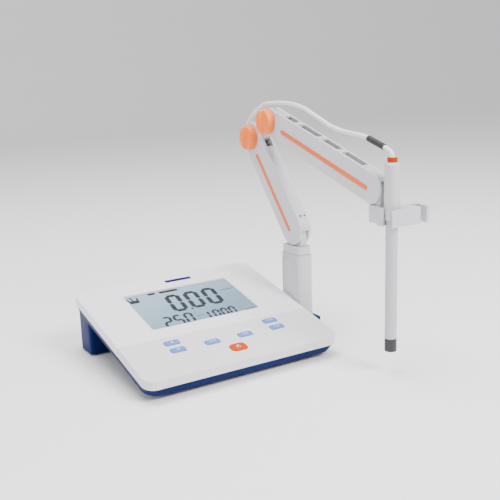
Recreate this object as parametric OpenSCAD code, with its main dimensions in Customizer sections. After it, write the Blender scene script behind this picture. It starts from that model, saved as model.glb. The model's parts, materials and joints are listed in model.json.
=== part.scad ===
/* [Console] */
// Width of the console
console_w = 242; // [200:1:290]
// Length of the sloping top, front edge to back edge
plate_len = 214; // [185:1:257]
// Slope of the top
plate_tilt = 12.5; // [10:0.5:14]
// Height of the top at its front edge
front_h = 24.4; // [23.4:0.2:30]
// Thickness of the white cover, skirt included
cover_t = 10.4; // [8.6:0.1:12.5]
// Thickness of the blue casing under the cover
casing_t = 9.8; // [8:0.1:11.8]
// Corner radius of the cover
corner_r = 13; // [8:1:16]
// Wall of the casing and of the cover
wall = 2.4; // [1.8:0.1:3]
// Depth of the rear leg, front to back
leg_d = 34; // [28:1:41]

/* [Display and keys] */
// Width of the display window
lcd_w = 142; // [118:1:170]
// Height of the display window along the slope
lcd_l = 88; // [73:1:100]
// Distance of the window's lower edge from the front edge
lcd_from_front = 94; // [90:1:100]
// Width of a key
key_w = 18; // [14:0.5:20]
// Height of a key
key_l = 9; // [7:0.5:11]
// Width of the power key
power_w = 20; // [16:0.5:24]
// Height of the power key
power_l = 14.5; // [12:0.5:17.5]
// How far the keys stand above the cover
key_proud = 1.2; // [0.8:0.1:2]
// Gap round each key
key_gap = 0.35; // [0.25:0.05:0.6]

/* [Arm] */
// Length of the lower arm between its pivots
lower_len = 138; // [115:1:165]
// Angle of the lower arm above level
lower_angle = 50.9; // [45:0.1:56]
// Half the width of the lower arm
lower_r = 20; // [17:0.5:21]
// Length of the link between the two knobs
link_len = 46.5; // [42:0.5:56]
// Angle of the link above level, leaning forward
link_angle = 28.2; // [24:0.1:34]
// Half the width of the link
link_r = 12; // [10:0.5:14]
// Length of the upper arm between its pivots
upper_len = 204; // [170:1:245]
// Angle of the upper arm below level
upper_angle = 17.7; // [14:0.1:20]
// Half the width of the upper arm
upper_r = 16.5; // [14:0.5:17.5]
// Thickness of both arms
arm_t = 15.5; // [15:0.5:19]
// Thickness of each arm's cheek and side cover
cheek_t = 3; // [2.4:0.1:3.6]
// Diameter of the pivot bolts
bolt_d = 6; // [5:0.5:7]
// Diameter of the clamp knobs
knob_d = 31; // [26:1:33]
// Thickness of the clamp knobs
knob_t = 13.5; // [11:0.5:16.5]

/* [Column] */
// Height of the shoulder pivot above the bench
shoulder_h = 132; // [122:1:158]
// Width of the column across the arm
column_w = 24; // [20:0.5:29]
// Depth of the column along the arm
column_d = 38; // [32:1:46]
// Gap between the console's side and the column's middle
column_gap = 14; // [13:0.5:18]
// Diameter of the turret's swivel spigot
spigot_d = 14; // [11:0.5:17]

/* [Electrode] */
// Diameter of the electrode stem
stem_d = 13; // [10:0.5:14]
// Diameter of the electrode cap
cap_d = 16.6; // [15:0.2:19]
// Length of the electrode cap
cap_l = 60; // [50:1:72]
// Length of the stem below the cap
stem_l = 144; // [120:1:150]
// Height of the holder's clips
clip_h = 18; // [15:0.5:21]
// Diameter of the lead
lead_d = 4.8; // [4:0.1:5]

/* [Hidden] */
$fn = 64;
eps = 0.01;
run_fit = 0.05;
pivot_gap = 0.3;

// Console frame: the origin is the middle of the rear leg's foot on the bench.
plate_deep = plate_len * cos(plate_tilt);
back_inset = 5;
leg_y1 = 11;
leg_y0 = leg_y1 - leg_d;
front_y = -(plate_deep - back_inset - leg_y1);
under = cover_t + casing_t;
casing_inset = 0.8;
casing_draft = 2.5;
foot_h = 2;
leg_w = console_w - 8;
lcd_mid = lcd_from_front + lcd_l / 2;
board_z = -cover_t - 2.2;
screw_x = 92;
screw_y = [46, plate_len - 62];

// Keys: place across the console, and place up the slope, of each key's middle.
key_up = [-63, 61.5];
key_down = [-63, 46];
key_mode = [-21, 46];
key_range = [21, 46];
key_store = [64, 61.5];
key_read = [64, 46];
key_power = [0, 25];
key_r = 2.5;
power_r = 5.5;
key_stem = 5;

// Arm places: [y, z] of each pivot, and x of the arms' middle plane.
arm_x = console_w / 2 + column_gap;
column_y = front_y + 104;
shoulder = [column_y, shoulder_h];
elbow_1 = shoulder + lower_len * [cos(lower_angle), sin(lower_angle)];
elbow_2 = elbow_1 + link_len * [-cos(link_angle), sin(link_angle)];
wrist = elbow_2 - upper_len * [cos(upper_angle), sin(upper_angle)];
tongue_t = arm_t - 2 * cheek_t - 2 * pivot_gap;
column_top = shoulder_h - lower_r - 1;
turret_z = column_top - 10;
bracket_h = 21;
bracket_x0 = 66;
bracket_r = arm_x + 17 - bracket_x0;
bracket_d = 62;
spigot_l = 12;
bush_t = 2;
lead_top = turret_z - spigot_l - 4;
tongue_l = 12;
panel_r = column_d / 2 - 3.5;
panel_t = 1.4;
panel_z = [46, turret_z - 2];
stripe_t = 1.0;
arm_wall = 2.4;

// Electrode and holder places.
electrode_reach = 26;
electrode_y = wrist[0] - electrode_reach;
clip_z = wrist[1] - 36.5;
seat_h = 6;
cap_z = clip_z + seat_h;
clip_fit = 0.15;
clip_wall = 4.5;
clip_back = 11;
spare_x = 32.5;
spare_d = 12.5;
tip_l = 14;
collar_d = 10.5;
collar_h = 5;
relief_l = collar_h + 4.5;
tongue_r = 13;
lead_off = -13;
grommet_at = 96;
grommet_l = 8;

// Free lead from the electrode over the arms: [x, y, z] by hand, in three runs.
lead_a = [[135, -263, 232.2], [135, -263, 234.5], [135, -262, 237], [135, -260, 239], [135, -256, 241],
          [135, -250, 243], [135, -238, 247], [135, -224, 251], [135, -212, 253], [135, -200, 254],
          [135, -188, 255], [135, -178, 256.5], [135, -168, 258.5], [135, -158, 261], [135, -147, 265]];
lead_b = [[135, -146.7, 265.1], [135, -136, 269], [135, -124, 273.6], [135, -112, 278], [135, -99, 281],
          [135, -86, 283], [135, -72, 284], [135, -55, 284], [135, -37.3, 283]];
lead_c = [[135, -37, 283], [135, -28, 282.4], [135, -16, 279], [135, -5, 274], [135, 6, 267], [135, 15, 259],
          [135, 20, 250], [135, 21, 241], [135, 18, 233], [135, 11, 224.5], [135, 2, 217],
          [135, -6, 211.5], [135, -14, 203.5]];
sleeve_from = [135, -251, 242.7];
sleeve_to = [135, -225, 250.6];
// Free lead behind the console: the run from the bracket's gland to the coil, and the run on to the plug.
tail_route = [[128, -57, 8], [128, -50, 8], [128, -42, 6.5], [128, -34, 4], [128, -24, 2.4], [127, -12, 2.4],
              [126, 0, 2.4], [124, 14, 2.4], [119, 28, 2.4], [110, 40, 2.4], [99, 50, 2.4], [91, 61, 2.4],
              [87, 73, 2.4], [86, 86, 2.4]];
riser_route = [[38, 94, 9.6], [38, 86, 9.6], [38, 78, 8.5], [37.5, 70, 8.5], [37, 63, 11.5], [36.5, 56, 17],
               [36, 49, 25], [36, 44, 30.5], [36, 39.7, 32]];
coil_mid = [62, 90, 0];
coil_r = 24;
coil_turns = 1.5;
socket_z = 32;
clip_mouth = -152;

// ---------- shared shapes ----------

// Flat rectangle w by d with round corners, centred.
module round_rect(w, d, r) {
    square([w - 2 * r, d], center = true);
    square([w, d - 2 * r], center = true);
    for (sx = [-1, 1], sy = [-1, 1])
        translate([sx * (w / 2 - r), sy * (d / 2 - r)]) circle(r);
}

// Bar outline with round ends: from the origin to y = len, half width r.
module bar_shape(len, r) {
    circle(r);
    translate([0, len]) circle(r);
    translate([-r, 0]) square([2 * r, len]);
}

// The same bar standing in the arms' plane, from x = x0 to x = x0 + t.
module bar(len, r, x0, t) {
    translate([x0, 0, 0]) rotate([90, 0, 90]) linear_extrude(t) rotate(-90) bar_shape(len, r);
}

// A round pin or bore along x.
module x_pin(d, x0, len) {
    translate([x0, 0, 0]) rotate([0, 90, 0]) cylinder(d = d, h = len);
}

// Places children at a pivot [y, z] of the arms, turned by angle about x.
module at_pivot(p, angle = 0) {
    translate([arm_x, p[0], p[1]]) rotate([angle, 0, 0]) children();
}

// Places children on the cover: x across, y up the slope from the front edge.
module on_plate() {
    translate([0, front_y, front_h]) rotate([plate_tilt, 0, 0]) children();
}

// Everything above the level z of the cover's own frame.
module above_plate(z) {
    on_plate() translate([-300, -300, z]) cube([600, 800, 400]);
}

// A tube of diameter d along points: one closed surface with rings of 8 sides.
function unit(v) = v / norm(v);
function along(p, i) = unit(p[min(i + 1, len(p) - 1)] - p[max(i - 1, 0)]);
function side_of(t) = unit(cross(t, abs(t[0]) > 0.9 ? [0, 0, 1] : [1, 0, 0]));
function ring(p, i, d) = let (t = along(p, i), u = side_of(t), v = cross(t, u))
    [for (k = [0:7]) p[i] + d / 2 * (cos(45 * k) * u + sin(45 * k) * v)];
function mid_points(p) = [for (i = [0:len(p) - 2]) each [p[i], smooth_mid(p, i)], p[len(p) - 1]];
function smooth_mid(p, i) = let (a = p[max(i - 1, 0)], b = p[i], c = p[i + 1], e = p[min(i + 2, len(p) - 1)])
    (9 * (b + c) - a - e) / 16;
module tube(points, d) {
    p = mid_points(points);
    n = len(p);
    rings = [for (i = [0:n - 1]) each ring(p, i, d)];
    faces = concat([[for (k = [0:7]) k]],
        [for (i = [0:n - 2], k = [0:7]) each [
            [8 * i + k, 8 * i + 8 + k, 8 * i + (k + 1) % 8],
            [8 * i + (k + 1) % 8, 8 * i + 8 + k, 8 * i + 8 + (k + 1) % 8]]],
        [[for (k = [7:-1:0]) 8 * (n - 1) + k]]);
    polyhedron(rings, faces);
}

// ---------- console ----------

module casing_block(inset, top_z) {
    floor_in = inset + casing_draft;
    hull() {
        on_plate() translate([0, plate_len / 2, top_z - eps])
            linear_extrude(eps)
                round_rect(console_w - 2 * inset, plate_len - 2 * inset, corner_r - casing_inset);
        on_plate() translate([0, plate_len / 2, -under + (inset - casing_inset)])
            linear_extrude(eps)
                round_rect(console_w - 2 * floor_in, plate_len - 2 * floor_in, corner_r + 3);
    }
}

module leg_block(inset, z0) {
    difference() {
        translate([0, (leg_y0 + leg_y1) / 2, z0]) linear_extrude(80)
            round_rect(leg_w - 2 * inset, leg_d - 2 * inset, 4);
        above_plate(-cover_t - inset);
    }
}

module bottom_casing() {
    color("midnightblue") difference() {
        union() {
            casing_block(casing_inset, -cover_t);
            leg_block(0, foot_h);
        }
        casing_block(casing_inset + wall, -cover_t + 1);
        leg_block(wall, foot_h + wall);
        case_screw_bores(3.4);
        socket_bores();
    }
}

module top_cover() {
    color("whitesmoke") on_plate() difference() {
        translate([0, plate_len / 2, -cover_t]) linear_extrude(cover_t)
            round_rect(console_w, plate_len, corner_r);
        translate([0, plate_len / 2, -cover_t - 1]) linear_extrude(cover_t + 1 - wall)
            round_rect(console_w - 2 * wall, plate_len - 2 * wall, corner_r - wall);
        translate([0, lcd_mid, -cover_t]) linear_extrude(2 * cover_t)
            round_rect(lcd_w - 2, lcd_l - 2, 2);
        translate([0, lcd_mid, -1.2]) linear_extrude(3) round_rect(lcd_w, lcd_l, 2.5);
        for (k = [key_up, key_down, key_mode, key_range, key_store, key_read])
            translate([k[0], k[1], -cover_t]) linear_extrude(2 * cover_t)
                round_rect(key_w + 2 * key_gap, key_l + 2 * key_gap, key_r + key_gap);
        translate([key_power[0], key_power[1], -cover_t]) linear_extrude(2 * cover_t)
            round_rect(power_w + 2 * key_gap, power_l + 2 * key_gap, power_r + key_gap);
    }
}

module lcd_window() {
    color("lightsteelblue", 0.4) on_plate() translate([0, lcd_mid, -1.1]) linear_extrude(1)
        round_rect(lcd_w - 0.2, lcd_l - 0.2, 2.4);
}

module lcd_panel() {
    color("lightsteelblue") on_plate() translate([0, lcd_mid, -wall - 3]) linear_extrude(2.8)
        round_rect(lcd_w + 6, lcd_l + 6, 1);
}

module key_mat() {
    color("dimgray") on_plate() translate([0, 42, -key_stem - 2.6]) linear_extrude(1.4)
        round_rect(160, 66, 3);
}

module main_board() {
    color("darkgreen") on_plate() difference() {
        translate([0, 103, board_z]) linear_extrude(1.6) round_rect(200, 184, 2);
        for (sx = [-1, 1], y = screw_y)
            translate([sx * screw_x, y, board_z - 1]) cylinder(d = 4, h = 4);
    }
}

module key_cap(k, tint) {
    color(tint) on_plate() translate([k[0], k[1], -key_stem]) {
        linear_extrude(key_stem + key_proud) round_rect(key_w, key_l, key_r);
        linear_extrude(1) round_rect(key_w + 2, key_l + 2, 1.5);
    }
}

module up_key() { key_cap(key_up, "royalblue"); }
module down_key() { key_cap(key_down, "royalblue"); }
module mode_key() { key_cap(key_mode, "royalblue"); }
module range_key() { key_cap(key_range, "royalblue"); }
module store_key() { key_cap(key_store, "royalblue"); }
module read_key() { key_cap(key_read, "royalblue"); }

module power_key() {
    color("darkorange") on_plate() translate([key_power[0], key_power[1], -key_stem]) {
        linear_extrude(key_stem + key_proud) round_rect(power_w, power_l, power_r);
        linear_extrude(1) round_rect(power_w + 2, power_l + 2, power_r + 1);
    }
}

module front_feet() {
    color("dimgray") difference() {
        for (sx = [-1, 1])
            translate([sx * (console_w / 2 - 28), front_y + 26, 0]) cylinder(d = 13, h = 20);
        above_plate(-under);
    }
}

module rear_foot() {
    color("dimgray") linear_extrude(foot_h) round_rect(leg_w - 14, 14, 4);
}

// Case screws come up through the casing's floor from below, square to the cover.
module at_case_screws() {
    for (sx = [-1, 1], y = screw_y)
        on_plate() translate([sx * screw_x, y, -under]) children();
}

module case_screw_bores(d) {
    at_case_screws() translate([0, 0, -1]) cylinder(d = d, h = casing_t);
}

module case_screws() {
    color("silver") at_case_screws() difference() {
        union() {
            translate([0, 0, -1.6]) cylinder(d = 6, h = 1.6);
            cylinder(d = 3.2, h = under - wall);
        }
        translate([0, 0, -2]) cylinder(d = 2.6, h = 1.2, $fn = 6);
    }
}

// Rear sockets: place across the console and bore of each.
module at_socket(x) {
    translate([x, leg_y1, socket_z]) rotate([-90, 0, 0]) children();
}

module socket_bores() {
    at_socket(36) translate([0, 0, -wall - 1]) cylinder(d = 9.7, h = 6);
    at_socket(8) translate([0, 0, -wall - 1]) cylinder(d = 7.2, h = 6);
    at_socket(-40) translate([0, 0, -wall - 1]) cylinder(d = 8.2, h = 6);
    translate([-70, leg_y1, socket_z]) cube([13.4, 12, 6], center = true);
}

module electrode_socket() {
    color("silver") at_socket(36) difference() {
        union() {
            translate([0, 0, -9]) cylinder(d = 9.6, h = 9 + 10);
            cylinder(d = 14, h = 2);
        }
        translate([0, 0, 1]) cylinder(d = 8, h = 12);
    }
    color("gold") at_socket(36) cylinder(d = 1.6, h = 7);
}

module probe_socket() {
    color("dimgray") at_socket(8) difference() {
        union() {
            translate([0, 0, -8]) cylinder(d = 7, h = 10);
            cylinder(d = 11, h = 1.6);
        }
        translate([0, 0, -5]) cylinder(d = 3.6, h = 12);
    }
}

module power_inlet() {
    color("black") at_socket(-40) difference() {
        union() {
            translate([0, 0, -11]) cylinder(d = 8, h = 12.4);
            cylinder(d = 11, h = 1.4);
        }
        translate([0, 0, -8]) cylinder(d = 5.6, h = 14);
    }
    color("silver") at_socket(-40) translate([0, 0, -8 - eps]) cylinder(d = 2, h = 8);
}

module data_socket() {
    color("silver") translate([-70, leg_y1 - 4, socket_z]) difference() {
        cube([13, 10, 5.6], center = true);
        translate([0, 3, 0]) cube([11.8, 10, 4.4], center = true);
    }
    color("whitesmoke") translate([-70, leg_y1 - 5, socket_z + 0.9]) cube([10.4, 8, 1.8], center = true);
}

// ---------- bracket and column ----------

module arm_bracket() {
    color("midnightblue") difference() {
        union() {
            translate([bracket_x0 + bracket_r / 2, column_y, 0.6])
                linear_extrude(bracket_h - 0.6) round_rect(bracket_r, bracket_d, 9);
            translate([bracket_x0 + 22, column_y, 0.6]) linear_extrude(40) round_rect(40, bracket_d - 10, 4);
        }
        above_plate(-under - eps);
        translate([arm_x, column_y, bracket_h - spigot_l]) cylinder(d = spigot_d + 2 * run_fit, h = 30);
        translate([tail_route[0][0], column_y + bracket_d / 2 - 9, tail_route[0][2]])
            rotate([-90, 0, 0]) cylinder(d = lead_d + 3, h = 12);
        at_bracket_screws() cylinder(d = 4.4, h = 60);
        at_bracket_screws() translate([0, 0, -1]) cylinder(d = 8.4, h = 8);
    }
}

module at_bracket_screws() {
    for (y = [-1, 1]) translate([bracket_x0 + 22, column_y + y * 16, 0]) children();
}

module bracket_screws() {
    color("silver") at_bracket_screws() difference() {
        union() {
            translate([0, 0, 3.6]) cylinder(d = 7.6, h = 3.2);
            translate([0, 0, 6.8]) cylinder(d = 4.2, h = 10);
        }
        translate([0, 0, 2]) cylinder(d = 3.6, h = 3, $fn = 6);
    }
}

module column() {
    column_h = turret_z - pivot_gap - bracket_h;
    color("gainsboro") translate([arm_x, column_y, bracket_h]) difference() {
        union() {
            translate([0, 0, -spigot_l]) cylinder(d = spigot_d, h = spigot_l + 1);
            linear_extrude(column_h) round_rect(column_w, column_d, 6);
        }
        translate([0, 0, -spigot_l - 1]) cylinder(d = lead_d + 2, h = column_h + spigot_l + 2);
        translate([0, 0, lead_top - bracket_h]) cylinder(d = spigot_d + 2 * bush_t, h = column_h);
        hull() for (z = [panel_z[0] + panel_r, panel_z[1] - panel_r])
            translate([-column_w / 2 + panel_t, 0, z - bracket_h])
                rotate([0, -90, 0]) cylinder(r = panel_r, h = 5);
    }
}

module swivel_bush() {
    color("ivory") translate([arm_x, column_y, lead_top + eps]) difference() {
        cylinder(d = spigot_d + 2 * (bush_t - run_fit), h = turret_z - pivot_gap - lead_top - 2 * eps);
        translate([0, 0, 3]) cylinder(d = spigot_d + 2 * run_fit, h = turret_z);
        translate([0, 0, -1]) cylinder(d = lead_d + 2, h = turret_z);
    }
}

module turret() {
    color("gainsboro") difference() {
        union() {
            translate([arm_x, column_y, turret_z - spigot_l]) cylinder(d = spigot_d, h = spigot_l + 1);
            translate([arm_x, column_y, turret_z])
                linear_extrude(column_top - turret_z) round_rect(column_w - 3, column_d - 3, 5);
            at_pivot(shoulder, -90) bar(tongue_l, lower_r - 4, -tongue_t / 2, tongue_t);
        }
        translate([arm_x, column_y, turret_z - spigot_l - 1]) cylinder(d = lead_d + 2, h = spigot_l + 6);
        at_pivot(shoulder) x_pin(bolt_d + 2 * run_fit, -20, 40);
    }
}

module shoulder_pin() {
    color("silver") at_pivot(shoulder) {
        x_pin(bolt_d, -arm_t / 2 + pin_cover, arm_t - 2 * pin_cover);
    }
}

// ---------- lower arm ----------

// An arm's tray: far cheek and edge walls. At each end the walls are open up to a height, [reach, height].
module arm_tray(len, r, open_a, open_b) {
    tray_t = arm_t - cheek_t;
    difference() {
        bar(len, r, -arm_t / 2 + cheek_t, tray_t);
        bar(len, r - arm_wall, -arm_t / 2, tray_t);
        translate([-arm_t / 2, -r - 1, -r - 1]) cube([tray_t, r + 1 + open_a[0], r + 1 + open_a[1]]);
        translate([-arm_t / 2, len - open_b[0], -r - 1]) cube([tray_t, r + 1 + open_b[0], r + 1 + open_b[1]]);
        for (y = [0, len]) translate([0, y, 0]) x_pin(bolt_d + 2 * eps, -20, 40);
    }
}

// A side cover of an arm: a blind bore at its first pivot, a through bore at its other, and a stripe groove.
module arm_cover(len, r, stripe_off, stripe_a, stripe_b, stripe_w) {
    difference() {
        bar(len, r, -arm_t / 2, cheek_t - eps);
        x_pin(bolt_d + 2 * eps, -arm_t / 2 + pin_cover - eps, 20);
        translate([0, len, 0]) x_pin(bolt_d + 2 * eps, -20, 40);
        arm_stripe(stripe_off, stripe_a, stripe_b, stripe_w + 0.1, stripe_t + 0.2);
    }
}

module arm_stripe(off, a, b, w, t) {
    translate([0, a, off]) bar(b - a, w / 2, -arm_t / 2 - 0.2, t);
}

pin_cover = 1.2;
screw_d = 2.9;
lower_stripe_y = [2, 112];
lower_stripe_off = -4.5;
upper_stripe_y = [-197, -32];
upper_stripe_off = -2;
stripe_w = 5.4;
lead_slots = [[-49, -28], [-96, -58], [-135, -105], [-181, -144]];
slot_rim = 0.8;

module lower_arm() {
    color("gainsboro") at_pivot(shoulder, lower_angle) difference() {
        arm_tray(lower_len, lower_r, [24, lower_r - 4.5], [28, lower_r + 1]);
        at_arm_screws() cylinder(d = screw_d + 0.1, h = 10);
    }
}

module lower_cover() {
    color("whitesmoke") at_pivot(shoulder, lower_angle)
        arm_cover(lower_len, lower_r, lower_stripe_off, lower_stripe_y[0], lower_stripe_y[1], stripe_w);
}

module lower_stripe() {
    color("orangered") at_pivot(shoulder, lower_angle)
        arm_stripe(lower_stripe_off, lower_stripe_y[0], lower_stripe_y[1], stripe_w, stripe_t);
}

// The two screws in the lower arm's front wall, beside the shoulder.
module at_arm_screws() {
    for (x = [-1.5, 4.5]) translate([x, 6, lower_r - arm_wall + 0.5]) children();
}

module arm_screws() {
    color("silver") at_pivot(shoulder, lower_angle) at_arm_screws() cylinder(d = screw_d, h = 0.9);
}

// Clamp bolt: its shank passes both cheeks, and its head is sunk in the far one.
module clamp_bolt() {
    x_pin(bolt_d, -arm_t / 2 - knob_t + 3, arm_t + knob_t - 3);
    translate([arm_t / 2, 0, 0]) rotate([0, 90, 0]) cylinder(d = 11, h = 2.5, $fn = 6);
}

module lower_bolt() { color("silver") at_pivot(elbow_1) clamp_bolt(); }
module upper_bolt() { color("silver") at_pivot(elbow_2) clamp_bolt(); }

// Clamp knob: a domed disc with a raised grip across it and a bore for the bolt.
module clamp_knob() {
    translate([-arm_t / 2 - pivot_gap, 0, 0]) rotate([0, -90, 0]) difference() {
        union() {
            rotate_extrude() difference() {
                union() {
                    square([knob_d / 2 - 1.5, knob_t - 2.5]);
                    square([knob_d / 2, knob_t - 4]);
                    translate([knob_d / 2 - 1.5, knob_t - 4]) circle(1.5);
                }
                translate([-10, -10]) square([10, 40]);
            }
            intersection() {
                translate([-knob_d / 2, -3, 0]) cube([knob_d, 6, knob_t]);
                cylinder(d = knob_d - 2, h = knob_t);
            }
        }
        translate([0, 0, -1]) cylinder(d = bolt_d + 2 * run_fit, h = knob_t - 1.6);
    }
}

module lower_knob() { color("darkorange") at_pivot(elbow_1) clamp_knob(); }
module upper_knob() { color("darkorange") at_pivot(elbow_2) clamp_knob(); }

module link() {
    color("gainsboro") at_pivot(elbow_1, 180 - link_angle) difference() {
        bar(link_len, link_r, -tongue_t / 2, tongue_t);
        for (y = [0, link_len]) translate([0, y, 0]) x_pin(bolt_d + 2 * run_fit, -20, 40);
    }
}

// ---------- upper arm and holder ----------

module upper_arm() {
    color("gainsboro") at_pivot(elbow_2, upper_angle) difference() {
        translate([0, -upper_len, 0])
            arm_tray(upper_len, upper_r, [24, upper_r - 4.5], [24, upper_r - 4.5]);
        for (slot = lead_slots)
            translate([-arm_t / 2 + cheek_t + slot_rim, slot[0], upper_r - 5])
                cube([arm_t - 2 * cheek_t - slot_rim, slot[1] - slot[0], 10]);
    }
}

module upper_cover() {
    color("whitesmoke") at_pivot(elbow_2, upper_angle) translate([0, -upper_len, 0])
        arm_cover(upper_len, upper_r, upper_stripe_off, upper_len + upper_stripe_y[0],
                  upper_len + upper_stripe_y[1], stripe_w + 0.2);
}

module upper_stripe() {
    color("orangered") at_pivot(elbow_2, upper_angle)
        arm_stripe(upper_stripe_off, upper_stripe_y[0], upper_stripe_y[1], stripe_w + 0.2, stripe_t);
}

module wrist_pin() {
    color("silver") at_pivot(wrist) x_pin(bolt_d, -arm_t / 2 + pin_cover, arm_t - 2 * pin_cover);
}

// Holder: a tongue on the wrist pin that comes down to the foot behind the clips.
module holder() {
    foot_z = clip_z - wrist[1];
    front = electrode_y + clip_back - wrist[0];
    color("gainsboro") at_pivot(wrist) difference() {
        union() {
            x_pin(2 * tongue_r, -tongue_t / 2, tongue_t);
            translate([-tongue_t / 2, -tongue_r, foot_z]) cube([tongue_t, tongue_r + 3, -foot_z]);
            translate([-7, front, foot_z]) cube([14, 3 - front, clip_h + 1]);
        }
        x_pin(bolt_d + 2 * run_fit, -20, 40);
    }
}

// Clip head: a block with a clip for the electrode, open towards the front left, and a spare clip.
module clip_head() {
    left = cap_d / 2 + clip_wall;
    color("gainsboro") translate([arm_x, electrode_y, clip_z]) difference() {
        linear_extrude(clip_h) difference() {
            translate([(spare_x + 10 - left) / 2, (clip_back - left) / 2])
                round_rect(spare_x + 10 + left, clip_back + left, 3);
            circle(d = stem_d + 2 * clip_fit);
            rotate(clip_mouth) translate([0, -cap_d * 0.36]) square([3 * left, cap_d * 0.72]);
            translate([spare_x, 0]) circle(d = spare_d);
            translate([spare_x - 4.2, -3 * left]) square([8.4, 3 * left]);
        }
        translate([0, 0, cap_z - clip_z]) cylinder(d = cap_d + 2 * clip_fit, h = clip_h);
    }
}

module electrode_cap() {
    color("lightgray") translate([arm_x, electrode_y, cap_z]) difference() {
        union() {
            cylinder(d = cap_d, h = cap_l - 3);
            cylinder(d = cap_d - 4, h = cap_l);
        }
        translate([0, 0, -1]) cylinder(d = stem_d + 0.04, h = 15.1);
        translate([0, 0, cap_l - 4]) cylinder(d = collar_d - 3, h = 5);
    }
}

module electrode_collar() {
    color("darkorange") translate([arm_x, electrode_y, cap_z + cap_l]) difference() {
        cylinder(d = collar_d, h = collar_h);
        translate([0, 0, -1]) cylinder(d = lead_d + 2, h = collar_h + 2);
    }
}

module lead_relief() {
    color("whitesmoke") translate([arm_x, electrode_y, cap_z + cap_l - 4]) difference() {
        cylinder(d = lead_d + 1.9, h = relief_l);
        translate([0, 0, relief_l - 2]) cylinder(d = lead_d + 0.5, h = 4);
    }
}

module electrode_stem() {
    color("lightgray") translate([arm_x, electrode_y, cap_z - stem_l]) difference() {
        translate([0, 0, tip_l]) cylinder(d = stem_d, h = stem_l - tip_l + 14);
        translate([0, 0, tip_l - 1]) cylinder(d = stem_d - 3, h = stem_l - tip_l);
    }
}

module sensor_tip() {
    color("black") translate([arm_x, electrode_y, cap_z - stem_l]) difference() {
        union() {
            cylinder(d = stem_d, h = tip_l);
            translate([0, 0, tip_l]) cylinder(d = stem_d - 3.2, h = 8);
        }
        translate([0, 0, -1]) cylinder(d = stem_d - 4, h = 9);
        translate([0, 0, 6]) rotate([0, 90, 0]) cylinder(d = 4, h = 20);
    }
}

// ---------- leads ----------

module lead_over_wrist() { color("whitesmoke") tube(lead_a, lead_d); }
module lead_over_elbow() { color("whitesmoke") tube(lead_b, lead_d); }
module lead_to_grommet() { color("whitesmoke") tube(lead_c, lead_d); }

// Black sleeve round the straight stretch of lead next to the electrode.
module lead_sleeve() {
    run = sleeve_to - sleeve_from;
    color("black") translate(sleeve_from) rotate([-atan2(run[1], run[2]), 0, 0]) difference() {
        cylinder(d = lead_d + 2, h = norm(run));
        translate([0, 0, -1]) cylinder(d = lead_d, h = norm(run) + 2);
    }
}

module lead_grommet() {
    grommet_w = 2 * (lower_r - arm_wall + lead_off);
    color("black") at_pivot(shoulder, lower_angle) difference() {
        translate([-4, grommet_at, lead_off - grommet_w / 2]) cube([8, grommet_l, grommet_w]);
        translate([0, grommet_at - 1, lead_off])
            rotate([-90, 0, 0]) cylinder(d = lead_d + 0.2, h = grommet_l + 2);
    }
}

// The lead's fixed stretches inside the lower arm and inside the column.
module lead_in_arm() {
    color("whitesmoke") at_pivot(shoulder, lower_angle) translate([0, 30, lead_off]) rotate([-90, 0, 0])
        cylinder(d = lead_d, h = grommet_at + grommet_l / 2 - 30);
}

module lead_in_column() {
    color("whitesmoke") translate([arm_x, column_y, bracket_h - spigot_l])
        cylinder(d = lead_d, h = lead_top - (bracket_h - spigot_l));
}

module lead_gland() {
    color("black") translate([tail_route[0][0], column_y + bracket_d / 2, tail_route[0][2]])
        rotate([-90, 0, 0]) difference() {
            union() {
                translate([0, 0, -8]) cylinder(d = lead_d + 2.8, h = 8);
                cylinder(d = lead_d + 5, h = 1.5);
            }
            translate([0, 0, -10]) cylinder(d = lead_d + 0.2, h = 14);
        }
}

module lead_tail() { color("whitesmoke") tube(tail_route, lead_d); }
module lead_riser() { color("whitesmoke") tube(riser_route, lead_d); }

module lead_coil() {
    color("whitesmoke") translate(coil_mid) rotate_extrude()
        translate([coil_r - lead_d / 2, 0]) square([lead_d, (coil_turns + 1) * lead_d]);
}

module coil_tie() {
    tie_h = (coil_turns + 1) * lead_d + 1;
    color("black") translate(coil_mid + [0, coil_r, tie_h / 2]) difference() {
        cube([4, lead_d + 2, tie_h], center = true);
        translate([0, 0, -1]) cube([6, lead_d + 0.8, tie_h], center = true);
    }
}

module lead_plug() {
    color("silver") at_socket(36) translate([0, 0, 2.2]) difference() {
        cylinder(d = 14.5, h = 12);
        translate([0, 0, -1]) cylinder(d = 9.8, h = 10);
    }
    color("black") at_socket(36) translate([0, 0, 14.2]) cylinder(d1 = 10, d2 = 6, h = 14);
}

bottom_casing();
top_cover();
lcd_window();
lcd_panel();
key_mat();
main_board();
up_key();
down_key();
mode_key();
range_key();
store_key();
read_key();
power_key();
front_feet();
rear_foot();
case_screws();
electrode_socket();
probe_socket();
power_inlet();
data_socket();
arm_bracket();
bracket_screws();
column();
swivel_bush();
turret();
shoulder_pin();
lower_arm();
lower_cover();
lower_stripe();
arm_screws();
lower_bolt();
lower_knob();
link();
upper_bolt();
upper_knob();
lead_in_arm();
lead_in_column();
upper_arm();
upper_cover();
upper_stripe();
wrist_pin();
holder();
clip_head();
electrode_cap();
electrode_collar();
lead_relief();
electrode_stem();
sensor_tip();
lead_over_wrist();
lead_sleeve();
lead_over_elbow();
lead_to_grommet();
lead_grommet();
lead_gland();
lead_tail();
lead_coil();
coil_tie();
lead_riser();
lead_plug();
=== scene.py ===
import json
import logging
import math
from collections.abc import Sequence
from dataclasses import dataclass, field
from enum import Enum

import bmesh
import bpy
import numpy as np
from mathutils import Matrix, Vector

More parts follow.
